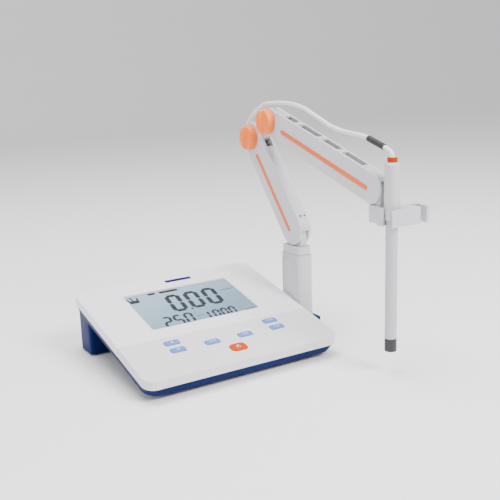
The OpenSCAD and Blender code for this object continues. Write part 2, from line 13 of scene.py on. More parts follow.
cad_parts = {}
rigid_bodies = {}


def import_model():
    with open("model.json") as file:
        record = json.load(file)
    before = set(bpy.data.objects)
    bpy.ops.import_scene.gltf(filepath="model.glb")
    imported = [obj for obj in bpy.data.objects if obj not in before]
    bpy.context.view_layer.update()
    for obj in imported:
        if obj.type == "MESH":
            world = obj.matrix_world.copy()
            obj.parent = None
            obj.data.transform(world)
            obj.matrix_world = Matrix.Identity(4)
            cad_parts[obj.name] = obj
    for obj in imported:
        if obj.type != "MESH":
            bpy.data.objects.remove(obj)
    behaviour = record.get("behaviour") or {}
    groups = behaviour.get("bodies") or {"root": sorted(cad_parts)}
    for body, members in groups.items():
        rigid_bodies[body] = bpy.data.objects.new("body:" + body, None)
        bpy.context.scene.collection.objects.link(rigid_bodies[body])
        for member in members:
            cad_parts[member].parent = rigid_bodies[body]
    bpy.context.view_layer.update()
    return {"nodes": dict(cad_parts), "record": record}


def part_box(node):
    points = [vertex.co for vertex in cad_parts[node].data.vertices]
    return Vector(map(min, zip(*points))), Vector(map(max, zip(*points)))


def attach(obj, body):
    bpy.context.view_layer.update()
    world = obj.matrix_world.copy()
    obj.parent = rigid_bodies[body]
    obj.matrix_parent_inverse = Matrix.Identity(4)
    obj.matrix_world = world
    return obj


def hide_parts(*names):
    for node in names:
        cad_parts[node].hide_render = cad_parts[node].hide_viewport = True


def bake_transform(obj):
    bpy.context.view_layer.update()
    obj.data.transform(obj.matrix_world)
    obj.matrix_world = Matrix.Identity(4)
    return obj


# Looks of a bench meter with a sloping console, a jointed arm and a leaded electrode.
#
# Every size is in metres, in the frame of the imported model. Each sub-assembly is a class: its fields are
# sizes, its methods make meshes and dress them. Finishes are small frozen dataclasses that build shaders.

log = logging.getLogger("bench_meter")
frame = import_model()
MM = 0.001
CORNER_STEPS = 7
OUTLINE = 4 * CORNER_STEPS  # points in every outline with round corners
Array = np.ndarray


# ---------- shader expressions ----------


class Val:
    """A shader value. Arithmetic on it adds Math nodes to its tree."""

    def __init__(self, shader: "Shader", socket: bpy.types.NodeSocket) -> None:
        """Keeps the shader and the socket that carries the value."""
        self.shader = shader
        self.socket = socket

    def _math(self, operation: str, *terms: "Val | float") -> "Val":
        """Adds one Math node.

        Args:
            operation: the node's operation.
            terms: its inputs, in order.

        Returns:
            The node's output.
        """
        node = self.shader.node("ShaderNodeMath", {"operation": operation}, dict(enumerate(terms)))
        return Val(self.shader, node.outputs[0])

    def __add__(self, other: "Val | float") -> "Val":
        """self + other."""
        return self._math("ADD", self, other)

    def __radd__(self, other: float) -> "Val":
        """other + self."""
        return self._math("ADD", other, self)

    def __sub__(self, other: "Val | float") -> "Val":
        """self - other."""
        return self._math("SUBTRACT", self, other)

    def __rsub__(self, other: float) -> "Val":
        """other - self."""
        return self._math("SUBTRACT", other, self)

    def __mul__(self, other: "Val | float") -> "Val":
        """self times other."""
        return self._math("MULTIPLY", self, other)

    def __rmul__(self, other: float) -> "Val":
        """other times self."""
        return self._math("MULTIPLY", other, self)

    def sine(self) -> "Val":
        """The sine of self, in radians."""
        return self._math("SINE", self)

    def smooth(self, low: float, high: float) -> "Val":
        """0 below low, 1 above high, and a smooth step between."""
        settings = {"interpolation_type": "SMOOTHSTEP"}
        node = self.shader.node("ShaderNodeMapRange", settings, {"Value": self, "From Min": low, "From Max": high})
        return Val(self.shader, node.outputs[0])


class Shader:
    """One material under construction, with a Principled shader at its end."""

    def __init__(self, name: str) -> None:
        """Starts a material with an empty Principled shader."""
        self.material = bpy.data.materials.new(name)
        self.material.use_nodes = True
        self.tree = self.material.node_tree
        self.bsdf = self.tree.nodes["Principled BSDF"]

    def node(self, kind: str, settings: dict, inputs: dict) -> bpy.types.Node:
        """Adds any node.

        Args:
            kind: the node's type.
            settings: its properties, set first.
            inputs: a value, a Val or a socket for each input, by name or number.

        Returns:
            The new node.
        """
        node = self.tree.nodes.new(kind)
        for key, value in settings.items():
            setattr(node, key, value)
        for key, value in inputs.items():
            self.feed(node.inputs[key], value)
        return node

    def feed(self, socket: bpy.types.NodeSocket, value: object) -> None:
        """Links a Val or a socket to an input, or sets the input to a plain value."""
        if isinstance(value, Val):
            value = value.socket
        if isinstance(value, bpy.types.NodeSocket):
            self.tree.links.new(value, socket)
        else:
            socket.default_value = value

    def place(self) -> bpy.types.NodeSocket:
        """The point being shaded, in object coordinates."""
        return self.node("ShaderNodeTexCoord", {}, {}).outputs["Object"]

    def axes(self) -> tuple["Val", "Val", "Val"]:
        """The point's three coordinates."""
        node = self.node("ShaderNodeSeparateXYZ", {}, {0: self.place()})
        return Val(self, node.outputs[0]), Val(self, node.outputs[1]), Val(self, node.outputs[2])

    def noise(self, size: float, detail: float = 3.0) -> "Val":
        """Fractal noise whose blobs are about size metres across, from 0 to 1."""
        node = self.node("ShaderNodeTexNoise", {}, {"Vector": self.place(), "Scale": 1.0 / size, "Detail": detail})
        return Val(self, node.outputs[0])

    def mix(self, factor: "Val | float", one: object, two: object) -> bpy.types.NodeSocket:
        """The colour one where factor is 0, two where it is 1."""
        node = self.node("ShaderNodeMix", {"data_type": "RGBA"}, {0: factor, 6: one, 7: two})
        return node.outputs[2]

    def bump(self, height: "Val", depth: float) -> bpy.types.NodeSocket:
        """A normal that height, from 0 to 1, raises by depth metres."""
        node = self.node("ShaderNodeBump", {}, {"Height": height, "Strength": 1.0, "Distance": depth})
        return node.outputs[0]

    def set(self, **inputs: object) -> None:
        """Sets or links the Principled shader's inputs: underscores stand for spaces."""
        for key, value in inputs.items():
            self.feed(self.bsdf.inputs[key.replace("_", " ")], value)


Colour = tuple[float, float, float]


def rgba(colour: Colour) -> tuple[float, float, float, float]:
    """The colour with full alpha."""
    return (*colour, 1.0)


def shade(colour: Colour, factor: float) -> tuple[float, float, float, float]:
    """The colour times a factor, with full alpha."""
    return rgba(tuple(min(1.0, c * factor) for c in colour))


# ---------- finishes ----------


@dataclass(frozen=True)
class Moulded:
    """Moulded plastic or rubber: a spark-eroded grain, a slow drift of tone and handling marks."""

    name: str
    colour: Colour
    roughness: float = 0.45
    drift: float = 0.05
    grain: float = 0.0006
    depth: float = 0.00002
    shine: float = 0.5

    def build(self) -> bpy.types.Material:
        """Makes the material: colour drifts with slow noise, roughness with marks, and the grain is a bump."""
        shader = Shader(self.name)
        slow = shader.noise(0.05, 2.0)
        marks = shader.noise(0.012, 5.0)
        grain = shader.noise(self.grain, 2.0)
        dark, light = shade(self.colour, 1 - self.drift), shade(self.colour, 1 + self.drift)
        tone = shader.mix(slow.smooth(0.3, 0.7), dark, light)
        shader.set(Base_Color=tone, Roughness=self.roughness + 0.14 * (marks - 0.5))
        shader.set(Specular_IOR_Level=self.shine, Normal=shader.bump(grain, self.depth))
        return shader.material


@dataclass(frozen=True)
class CoverPlate:
    """The console's white cover: cool white at the back, and a warmer grey below a soft crease that is painted shade
    of the slight bend.
    """

    name: str = "cover_white"
    back: Colour = (0.84, 0.825, 0.88)
    front: Colour = (0.73, 0.70, 0.725)
    crease_y: float = -0.121
    crease_w: float = 0.0016
    roughness: float = 0.36

    def build(self) -> bpy.types.Material:
        """Makes the material: a smooth step along y darkens the tone in front of the crease as painted shade, and its
        slope is a shallow bump.
        """
        shader = Shader(self.name)
        across, along, _ = shader.axes()
        step = (along + 0.02 * across).smooth(self.crease_y - self.crease_w, self.crease_y + self.crease_w)
        grain = shader.noise(0.0005, 2.0)
        marks = shader.noise(0.03, 5.0)
        # Painted shade: the front colour, darker than the back, stands for the shade of the bent front.
        tone = shader.mix(step, rgba(self.front), rgba(self.back))
        tone = shader.mix(0.06 * marks, tone, shade(self.front, 0.82))
        shader.set(Base_Color=tone, Roughness=self.roughness + 0.12 * (marks - 0.5))
        shader.set(Normal=shader.bump(grain * 0.04 + step * 0.6, 0.0006))
        return shader.material


@dataclass(frozen=True)
class PaintedLightDisplay:
    """The display's pale blue-grey ground, with fine upright lines: brighter towards its back left as a painted
    highlight, and with a faint painted glow.
    """

    name: str = "display_ground"
    # light is the painted highlight's end of the ramp, dim its unlit end.
    light: Colour = (0.265, 0.385, 0.47)
    dim: Colour = (0.155, 0.245, 0.32)
    pitch: float = 0.0006

    def build(self) -> bpy.types.Material:
        """Makes the material: the tone follows a slanting ramp of painted highlight, the lines are a faint sine across
        it, and a faint emission is painted glow.
        """
        shader = Shader(self.name)
        across, along, _ = shader.axes()
        # Painted highlight: the ground is made lighter towards its back left.
        painted_highlight_ramp = (along - 0.4 * across).smooth(-0.11, 0.0)
        tone = shader.mix(painted_highlight_ramp, rgba(self.dim), rgba(self.light))
        grid = (across * (math.tau / self.pitch)).sine()
        tone = shader.mix(0.03 + 0.03 * grid, tone, shade(self.dim, 0.7))
        # Painted glow: a faint emission brightens the ground.
        shader.set(Base_Color=tone, Roughness=0.32, Emission_Color=tone, Emission_Strength=0.06)
        return shader.material


@dataclass(frozen=True)
class Metal:
    """Plated or drawn metal: fine streaks and a little tarnish."""

    name: str
    colour: Colour
    roughness: float = 0.3

    def build(self) -> bpy.types.Material:
        """Makes the material: roughness follows streak noise and the tone a slow tarnish."""
        shader = Shader(self.name)
        streaks = shader.noise(0.0008, 4.0)
        tarnish = shader.noise(0.008, 3.0)
        tone = shader.mix(tarnish.smooth(0.5, 0.8) * 0.4, rgba(self.colour), shade(self.colour, 0.7))
        shader.set(Base_Color=tone, Metallic=1.0, Roughness=self.roughness + 0.2 * (streaks - 0.5))
        shader.set(Normal=shader.bump(streaks, 0.00001))
        return shader.material


@dataclass(frozen=True)
class Board:
    """Circuit board: green mask with paler copper tracks under it."""

    name: str = "board_mask"
    mask: Colour = (0.01, 0.10, 0.04)
    copper: Colour = (0.05, 0.24, 0.09)
    tracks: float = 260.0

    def build(self) -> bpy.types.Material:
        """Makes the material: the joints between rows of bricks give the tracks."""
        shader = Shader(self.name)
        track = shader.node("ShaderNodeTexBrick", {}, {"Vector": shader.place(), "Scale": self.tracks})
        tone = shader.mix(Val(shader, track.outputs["Fac"]), rgba(self.mask), rgba(self.copper))
        shader.set(Base_Color=tone, Roughness=0.3)
        return shader.material


@dataclass(frozen=True)
class WindowGlass:
    """Clear acrylic over the display, with a faint smear that changes its gloss."""

    name: str = "window_clear"
    alpha: float = 0.03

    def build(self) -> bpy.types.Material:
        """Makes the material: a thin see-through gloss."""
        shader = Shader(self.name)
        smear = shader.noise(0.02, 4.0)
        shader.set(Base_Color=rgba((0.6, 0.7, 0.8)), Roughness=0.10 + 0.08 * smear, Alpha=self.alpha)
        shader.set(Specular_IOR_Level=0.1)
        return shader.material


@dataclass(frozen=True)
class ElectrodeBody:
    """Grey electrode tube, with a thin red-brown line down one side of its cap."""

    name: str
    colour: Colour
    line_angle: float = math.radians(-22)
    line: bool = False

    def build(self) -> bpy.types.Material:
        """Makes the material: the line is where a slanting coordinate round the axis is near its greatest."""
        shader = Shader(self.name)
        low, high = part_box("electrode_cap")
        mid_x, mid_y = (low[0] + high[0]) / 2, (low[1] + high[1]) / 2
        radius = (high[0] - low[0]) / 2
        across, along, up = shader.axes()
        reach = (across - mid_x) * math.cos(self.line_angle) + (along - mid_y) * math.sin(self.line_angle)
        slow = shader.noise(0.02, 3.0)
        tone = shader.mix(slow, shade(self.colour, 0.94), shade(self.colour, 1.05))
        if self.line:
            band = reach.smooth(radius * 0.975, radius * 0.99)
            foot = up.smooth(low[2] + 6 * MM, low[2] + 6.5 * MM)
            span = foot * (1 - up.smooth(high[2] - 6 * MM, high[2] - 5.5 * MM))
            tone = shader.mix(band * span, tone, rgba((0.42, 0.12, 0.12)))
        shader.set(Base_Color=tone, Roughness=0.28 + 0.1 * slow, Coat_Weight=0.3)
        return shader.material


@dataclass(frozen=True)
class Jacket:
    """Lead jacket: soft off-white rubber with faint lengthwise drift and dust."""

    name: str = "lead_jacket"
    colour: Colour = (0.70, 0.70, 0.71)

    def build(self) -> bpy.types.Material:
        """Makes the material: dust noise dulls the tone and the gloss."""
        shader = Shader(self.name)
        dust = shader.noise(0.004, 5.0)
        skin = shader.noise(0.0007, 2.0)
        tone = shader.mix(dust, shade(self.colour, 0.92), shade(self.colour, 1.06))
        shader.set(Base_Color=tone, Roughness=0.42 + 0.15 * dust, Normal=shader.bump(skin, 0.00003))
        return shader.material


class Look(Enum):
    """Every finish on the meter."""

    COVER = CoverPlate()
    CASING = Moulded("casing_blue", (0.0025, 0.011, 0.080), 0.5, 0.07, 0.0007, 0.00003, shine=0.1)
    ARM = Moulded("arm_grey", (0.56, 0.545, 0.58), 0.42, 0.03)
    ARM_COVER = Moulded("arm_cover_grey", (0.60, 0.585, 0.62), 0.38, 0.03)
    STRIPE = Moulded("stripe_orange", (0.36, 0.016, 0.000), 0.5, 0.05, shine=0.05)
    KNOB = Moulded("knob_orange", (0.42, 0.023, 0.000), 0.5, 0.06, 0.0008, 0.00002, shine=0.12)
    COLLAR = Moulded("collar_orange", (0.45, 0.035, 0.000), 0.4, 0.05, shine=0.12)
    KEY = Moulded("key_blue", (0.004, 0.022, 0.115), 0.5, 0.08, 0.0005, 0.00002, shine=0.06)
    # Darker blue for the keys' skirts: painted shade round each key.
    KEY_RIM = Moulded("key_shade_rim_blue", (0.002, 0.006, 0.035), 0.5, 0.06, shine=0.2)
    POWER = Moulded("power_orange", (0.50, 0.052, 0.000), 0.5, 0.06, 0.0005, 0.00002, shine=0.06)
    LEGEND = Moulded("legend_white", (0.75, 0.78, 0.85), 0.5, 0.03)
    INK = Moulded("badge_indigo", (0.012, 0.003, 0.10), 0.5, 0.05, shine=0.15)
    SEGMENT = Moulded("segment_black", (0.001, 0.0015, 0.006), 0.8, 0.1, shine=0.0)
    RUBBER = Moulded("foot_rubber", (0.02, 0.02, 0.022), 0.75, 0.1, 0.0012, 0.00008, shine=0.25)
    BLACK = Moulded("black_plastic", (0.006, 0.006, 0.007), 0.42, 0.1, shine=0.3)
    ACETAL = Moulded("bush_acetal", (0.72, 0.69, 0.58), 0.35, 0.04)
    SCREW = Metal("screw_zinc", (0.62, 0.62, 0.64), 0.32)
    OXIDE = Metal("screw_oxide", (0.03, 0.03, 0.035), 0.4)
    NICKEL = Metal("socket_nickel", (0.72, 0.70, 0.66), 0.2)
    DISPLAY = PaintedLightDisplay()
    WINDOW = WindowGlass()
    BOARD = Board()
    CAP = ElectrodeBody("electrode_cap_grey", (0.56, 0.55, 0.575), line=True)
    STEM = ElectrodeBody("electrode_stem_grey", (0.47, 0.475, 0.50))
    LEAD = Jacket()

    def material(self) -> bpy.types.Material:
        """The material that has the finish's name, made if there is none.

        The frame's own plain materials come first: those named black_plastic, key_blue, knob_orange,
        lead_jacket and stripe_orange stand in for the finishes of the same names.
        """
        return bpy.data.materials.get(self.value.name) or self.value.build()


# ---------- meshes ----------


def body_of(node: str) -> str:
    """The body that a CAD node belongs to."""
    bodies = frame["record"]["behaviour"]["bodies"]
    return next(body for body, nodes in bodies.items() if node in nodes)


def mesh_object(name: str, points: Array, faces: Sequence[Sequence[int]], look: Look) -> bpy.types.Object:
    """Makes an object from points and faces, smooth where faces meet at a shallow angle.

    Args:
        name: the piece's name.
        points: an array of n by 3.
        faces: corner numbers of each face.
        look: its finish.

    Returns:
        The new object, at the origin, with its normals outwards.
    """
    mesh = bpy.data.meshes.new(name)
    mesh.from_pydata(points.tolist(), [], [list(map(int, f)) for f in faces])
    solid = bmesh.new()
    solid.from_mesh(mesh)
    bmesh.ops.remove_doubles(solid, verts=solid.verts, dist=1e-7)
    bmesh.ops.recalc_face_normals(solid, faces=solid.faces)
    solid.to_mesh(mesh)
    solid.free()
    mesh.shade_smooth()
    mesh.set_sharp_from_angle(angle=math.radians(38))
    mesh.materials.append(look.material())
    piece = bpy.data.objects.new(name, mesh)
    bpy.context.scene.collection.objects.link(piece)
    return piece


def grid_faces(rows: int, cols: int, closed: bool = True) -> list[list[int]]:
    """Quads of a grid of rows by cols points, joined round from the last column to the first if closed."""
    row, col = np.meshgrid(np.arange(rows - 1), np.arange(cols if closed else cols - 1), indexing="ij")
    nxt = (col + 1) % cols
    corners = [row * cols + col, row * cols + nxt, (row + 1) * cols + nxt, (row + 1) * cols + col]
    return np.stack([c.ravel() for c in corners], axis=1).tolist()


def lofted(name: str, rings: Array, look: Look) -> bpy.types.Object:
    """Skins rings, an array of rings by points by 3, and closes both ends with a flat face."""
    rows, cols, _ = rings.shape
    faces = grid_faces(rows, cols)
    faces.append(list(range(cols))[::-1])
    faces.append(list(range((rows - 1) * cols, rows * cols)))
    return mesh_object(name, rings.reshape(-1, 3), faces, look)


def turned(name: str, profile: Array, origin: Vector, look: Look, sides: int = 64) -> bpy.types.Object:
    """Turns a profile round an upright axis: each [radius, height] becomes a circle of that radius and height."""
    spin = np.linspace(0, math.tau, sides, endpoint=False)
    flat = np.stack([np.cos(spin), np.sin(spin), np.zeros(sides)], axis=1)
    rings = profile[:, None, 0:1] * flat[None] + profile[:, None, 1:2] * np.array([0.0, 0.0, 1.0])
    return lofted(name, rings + np.array(origin), look)


def prisms(name: str, bars: Sequence[Array], look: Look) -> bpy.types.Object:
    """Joins flat marks into one piece: each has two rings, skinned and closed at both ends."""
    points, faces, start = [], [], 0
    for rings in bars:
        count = rings.shape[1]
        points.append(rings.reshape(-1, 3))
        faces += [[i + start for i in f] for f in grid_faces(2, count)]
        faces += [[start + i for i in range(count)][::-1], [start + count + i for i in range(count)]]
        start += 2 * count
    return mesh_object(name, np.vstack(points), faces, look)


def shift(rings: Array, x: float, y: float) -> Array:
    """Moves rings over the cover."""
    return rings + np.array([x, y, 0.0])


def quarter(radius: float, inset: float, steps: int = 6) -> Array:
    """A rounded edge seen in section: [inset from the side, height below the top] along a quarter circle."""
    angle = np.linspace(0, math.pi / 2, steps)
    return np.stack([inset + radius * (1 - np.cos(angle)), radius * (1 - np.sin(angle))], axis=1)


def round_rect(width: float, depth: float, radius: float, steps: int = CORNER_STEPS) -> Array:
    """Outline of a rectangle with round corners: corner arcs of equal steps about four centres."""
    angle = np.linspace(0, math.pi / 2, steps)
    turn = (np.arange(4) * math.pi / 2)[:, None] + angle[None]
    signs = np.array([[1, 1], [-1, 1], [-1, -1], [1, -1]], float)
    mid = signs * (np.array([width, depth]) / 2 - radius)
    arcs = mid[:, None, :] + radius * np.stack([np.cos(turn), np.sin(turn)], axis=-1)
    return arcs.reshape(-1, 2)


def pad_rings(width: float, depth: float, radius: float, low: float, high: float, edge: float,
              crown: float) -> Array:
    """Rings of a soft-edged block: outlines that shrink along a quarter circle, then rise to a crowned top."""
    rings = [np.column_stack([round_rect(width, depth, radius), np.full(OUTLINE, low)])]
    for inset, drop in quarter(edge, 0.0):
        outline = round_rect(width - 2 * inset, depth - 2 * inset, max(radius - inset, 1e-4))
        rings.append(np.column_stack([outline, np.full(OUTLINE, high - drop)]))
    for share in (0.75, 0.5, 0.25, 0.04):
        wide, deep = (width - 2 * edge) * share, (depth - 2 * edge) * share
        outline = round_rect(wide, deep, max(radius - edge, 1e-4) * share)
        rings.append(np.column_stack([outline, np.full(OUTLINE, high + crown * (1 - share**2))]))
    return np.array(rings)


def smooth_route(points: Sequence[Sequence[float]], fine: int = 6) -> Array:
    """A Catmull-Rom curve through the points: on each span, the cubic whose end slopes are half the chords."""
    p = np.array(points, float)
    before = np.vstack([p[:1], p[:-2]])
    after = np.vstack([p[2:], p[-1:]])
    t = np.linspace(0, 1, fine, endpoint=False)[None, :, None]
    a, b, c, d = before[:, None], p[:-1, None], p[1:, None], after[:, None]
    curve = 0.5 * (2 * b + (c - a) * t + (2 * a - 5 * b + 4 * c - d) * t**2 + (3 * b - a - 3 * c + d) * t**3)
    return np.vstack([curve.reshape(-1, 3), p[-1:]])


def tube(name: str, route: Array, radius: Array | float, look: Look, sides: int = 16) -> bpy.types.Object:
    """Carries a circle along a route, square to each tangent.

    The ring's first axis is the tangent crossed with a fixed direction. That direction is close to +X where
    the route never runs much along X. Otherwise it is close to +Z, or +X where the route runs upwards.
    """
    ahead = np.gradient(route, axis=0)
    ahead /= np.linalg.norm(ahead, axis=1, keepdims=True)
    side = np.cross(ahead, [0.13, 0.02, 1.0])
    flat = np.linalg.norm(side, axis=1) < 0.25
    side[flat] = np.cross(ahead[flat], [1.0, 0.0, 0.05])
    side = np.cross(ahead, [1.0, 0.03, 0.0]) if abs(ahead[:, 0]).max() < 0.6 else side
    side /= np.linalg.norm(side, axis=1, keepdims=True)
    up = np.cross(side, ahead)
    spin = np.linspace(0, math.tau, sides, endpoint=False)
    ring = np.cos(spin)[None, :, None] * side[:, None] + np.sin(spin)[None, :, None] * up[:, None]
    width = np.broadcast_to(np.asarray(radius, float).reshape(-1, 1, 1), (len(route), 1, 1))
    return lofted(name, route[:, None] + width * ring, look)


def settle(piece: bpy.types.Object, node: str, *others: str) -> bpy.types.Object:
    """A piece stands for CAD nodes: it hides them and rides on the first one's body."""
    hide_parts(node, *others)
    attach(piece, body_of(node))
    return piece


def softened(node: str, look: Look, edge: float, corner: float = 32.0, segments: int = 3) -> bpy.types.Object:
    """Copies a CAD node's mesh, joins its loose triangles into whole faces and rounds its edges.

    Args:
        node: the CAD node.
        look: its finish.
        edge: the edges' radius.
        corner: the angle past which an edge is rounded, in degrees.
        segments: steps in each rounding.

    Returns:
        The piece that stands for the node.
    """
    source = frame["nodes"][node]
    solid = bmesh.new()
    solid.from_mesh(source.data)
    bmesh.ops.remove_doubles(solid, verts=solid.verts, dist=1e-6)
    bmesh.ops.dissolve_limit(solid, angle_limit=math.radians(0.4), verts=solid.verts, edges=solid.edges)
    mesh = bpy.data.meshes.new(node + "_moulding")
    solid.to_mesh(mesh)
    solid.free()
    mesh.shade_smooth()
    mesh.set_sharp_from_angle(angle=math.radians(corner))
    mesh.materials.append(look.material())
    piece = bpy.data.objects.new(node + "_moulding", mesh)
    bpy.context.scene.collection.objects.link(piece)
    bevel = piece.modifiers.new("edges", "BEVEL")
    bevel.width = edge
    bevel.segments = segments
    bevel.limit_method = "ANGLE"
    bevel.angle_limit = math.radians(corner)
    bevel.harden_normals = True
    bevel.miter_outer = "MITER_ARC"
    return settle(piece, node)


def dress(node: str, look: Look) -> None:
    """Gives a CAD node that stays a finish."""
    data = frame["nodes"][node].data
    data.materials.clear()
    data.materials.append(look.material())


# ---------- console ----------


@dataclass
class Console:
    """The console: casing, cover, display, keys and feet, on a slope."""

    tilt: float = math.radians(12.5)
    front_h: float = 24.4 * MM
    lcd: tuple[float, float, float, float] = (0.0, 138 * MM, 142 * MM, 88 * MM)
    key_size: tuple[float, float, float] = (18 * MM, 9 * MM, 2.4 * MM)
    power_size: tuple[float, float, float] = (20 * MM, 14.5 * MM, 5.4 * MM)
    key_proud: float = 1.2 * MM
    lean: float = 0.09
    taper: float = 0.7
    gap: float = 0.06
    mark_low: float = -2.62 * MM
    mark_high: float = -2.52 * MM
    keys: dict[str, tuple[float, float]] = field(
        default_factory=lambda: {
            "up_key": (-63, 61.5),
            "down_key": (-63, 46),
            "mode_key": (-21, 46),
            "range_key": (21, 46),
            "store_key": (64, 61.5),
            "read_key": (64, 46),
            "power_key": (0, 25),
        }
    )

    def __post_init__(self) -> None:
        """Finds the cover's front edge in the frame."""
        self.front_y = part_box("top_cover")[0][1]

    def on_plate(self, points: Array) -> Array:
        """Turns points from the cover's frame (across, up the slope, out) to the object's."""
        cos, sin = math.cos(self.tilt), math.sin(self.tilt)
        x, y, z = points[..., 0], points[..., 1], points[..., 2]
        return np.stack([x, self.front_y + y * cos - z * sin, self.front_h + y * sin + z * cos], axis=-1)

    def shell(self) -> None:
        """Casing, cover and feet, with moulded edges."""
        softened("top_cover", Look.COVER, 1.1 * MM)
        softened("bottom_casing", Look.CASING, 0.7 * MM)
        softened("rear_foot", Look.RUBBER, 0.6 * MM)
        softened("front_feet", Look.RUBBER, 0.5 * MM)
        dress("lcd_panel", Look.DISPLAY)
        dress("lcd_window", Look.WINDOW)
        dress("key_mat", Look.RUBBER)
        dress("main_board", Look.BOARD)
        dress("case_screws", Look.SCREW)

    def cell(self, outline: Array) -> Array:
        """A flat mark's rings: its outline just under and just over the display's ground."""
        low = np.column_stack([outline, np.full(len(outline), self.mark_low)])
        high = np.column_stack([outline, np.full(len(outline), self.mark_high)])
        return self.on_plate(np.array([low, high]))

    def digit(self, shown: str, x: float, y: float, wide: float, tall: float, stroke: float) -> list[Array]:
        """Seven bars of a digit, each a six-cornered lozenge along its stroke.

        Args:
            shown: the digit.
            x: its left side.
            y: its foot.
            wide: its width.
            tall: its height.
            stroke: its bars' thickness.

        Returns:
            The rings of each lit bar.
        """
        lit = {"0": "abcdef", "1": "bc", "2": "abged", "5": "afgcd"}[shown]
        half, h = stroke / 2, tall / 2
        ends = {
            "a": ((x, y + tall), (x + wide, y + tall)),
            "b": ((x + wide, y + h), (x + wide, y + tall)),
            "c": ((x + wide, y), (x + wide, y + h)),
            "d": ((x, y), (x + wide, y)),
            "e": ((x, y), (x, y + h)),
            "f": ((x, y + h), (x, y + tall)),
            "g": ((x, y + h), (x + wide, y + h)),
        }
        bars = []
        for name in lit:
            start, end = np.array(ends[name][0]), np.array(ends[name][1])
            start, end = start + [self.lean * (start[1] - y), 0], end + [self.lean * (end[1] - y), 0]
            run = (end - start) / np.linalg.norm(end - start)
            side = np.array([-run[1], run[0]])
            start, end = start + run * stroke * self.gap, end - run * stroke * self.gap
            tip = half * self.taper * run
            six = [start, start + tip - half * side, end - tip - half * side, end,
                   end - tip + half * side, start + tip + half * side]
            bars.append(self.cell(np.array(six) * MM))
        return bars

    def readout(self) -> None:
        """The display's marks: a large number, two small ones, label blocks and a cup sign."""
        bars: list[Array] = []
        for k, shown in enumerate("000"):
            bars += self.digit(shown, -23.6 + 24.6 * k, 129.0, 13.8, 36.6, 5.6)
        for k, shown in enumerate("250"):
            bars += self.digit(shown, -49.0 + 13.6 * k, 97.6, 8.2, 21.4, 3.4)
        for k, shown in enumerate("1000"):
            bars += self.digit(shown, 3.4 + 10.8 * k - (2.6 if k == 0 else 0.0), 98.0, 6.4, 15.4, 3.0)
        blocks = [(-33.5, 178.8, 9.5, 4.6), (-10.8, 178.4, 25.0, 4.6), (-3.4, 127.2, 3.2, 3.2),
                  (-23.6, 96.4, 2.2, 2.2), (12.4, 97.0, 1.8, 1.8), (-60.4, 168.4, 9.4, 4.6)]
        blocks += [(52.0 + 4.6 * k, 156.4, 3.2, 1.5) for k in range(4)]
        blocks += [(57.0 + 4.2 * k, 100.8, 3.0, 1.5) for k in range(4)]
        blocks += [(-6.2, 116.0, 2.4, 1.2), (-5.0, 109.0, 3.0, 1.2), (-0.6, 109.0, 3.0, 1.2)]
        for x, y, wide, tall in blocks:
            outline = round_rect(wide * MM, tall * MM, min(wide, tall) * 0.22 * MM) + np.array([x, y]) * MM
            bars.append(self.cell(outline))
        cup = [(-66.0, 164.0), (-54.6, 164.0), (-53.4, 176.6), (-55.6, 176.6), (-56.8, 167.2),
               (-64.4, 167.2), (-66.4, 176.6), (-68.4, 176.6)]
        rod = [(-61.6, 166.0), (-59.4, 166.0), (-61.0, 179.4), (-63.2, 179.4)]
        bars += [self.cell(np.array(outline) * MM) for outline in (cup, rod)]
        marks = prisms("display_marks", bars, Look.SEGMENT)
        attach(marks, "console")

    def bezel(self) -> None:
        """A thin pale gasket round the display's window, and the plain badge above it."""
        x, y, wide, tall = self.lcd
        outer = round_rect(wide - 0.4 * MM, tall - 0.4 * MM, 2.2 * MM)
        inner = round_rect(wide - 2 * MM, tall - 2 * MM, 1.6 * MM)
        spot = np.array([x, y])
        section = ((inner, -1.1), (outer, -1.1), (outer, -0.14), (inner, -0.10))
        rings = [np.column_stack([ring + spot, np.full(OUTLINE, level * MM)]) for ring, level in section]
        points = self.on_plate(np.array(rings + rings[:1]))
        gasket = mesh_object("window_gasket", points.reshape(-1, 3), grid_faces(5, OUTLINE), Look.COVER)
        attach(gasket, "console")
        rings = pad_rings(36 * MM, 6.4 * MM, 1.4 * MM, -0.1 * MM, 0.08 * MM, 0.06 * MM, 0.0)
        badge = lofted("plain_badge", self.on_plate(shift(rings, 12.5 * MM, 198.5 * MM)), Look.INK)
        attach(badge, "console")

    def legend(self, key: str) -> list[Array]:
        """White marks on a key, as outlines about its middle: arrows, a circle and plain bars."""
        wide = 3.0 * MM
        if key == "up_key":
            return [np.array([(-wide, -1.2 * MM), (wide, -1.2 * MM), (0.0, 1.7 * MM)]) * 0.7]
        if key == "down_key":
            return [np.array([(0.0, -1.7 * MM), (wide, 1.2 * MM), (-wide, 1.2 * MM)]) * 0.7]
        if key == "power_key":
            turn = np.linspace(0.35 * math.pi, -1.35 * math.pi, 16)
            ring = np.stack([np.sin(turn + math.pi / 2), np.cos(turn + math.pi / 2)], axis=1)
            stalk = np.array([(-0.3, 0.4), (0.3, 0.4), (0.3, 3.2), (-0.3, 3.2)]) * MM
            arc = np.vstack([ring * 2.4 * MM, ring[::-1] * 1.8 * MM])
            return [arc, stalk]
        dashes = ((2.6, -2.6), (4.2, 1.8))
        return [round_rect(w * MM, 0.9 * MM, 0.4 * MM) + np.array([dx, 0.0]) * MM for w, dx in dashes]

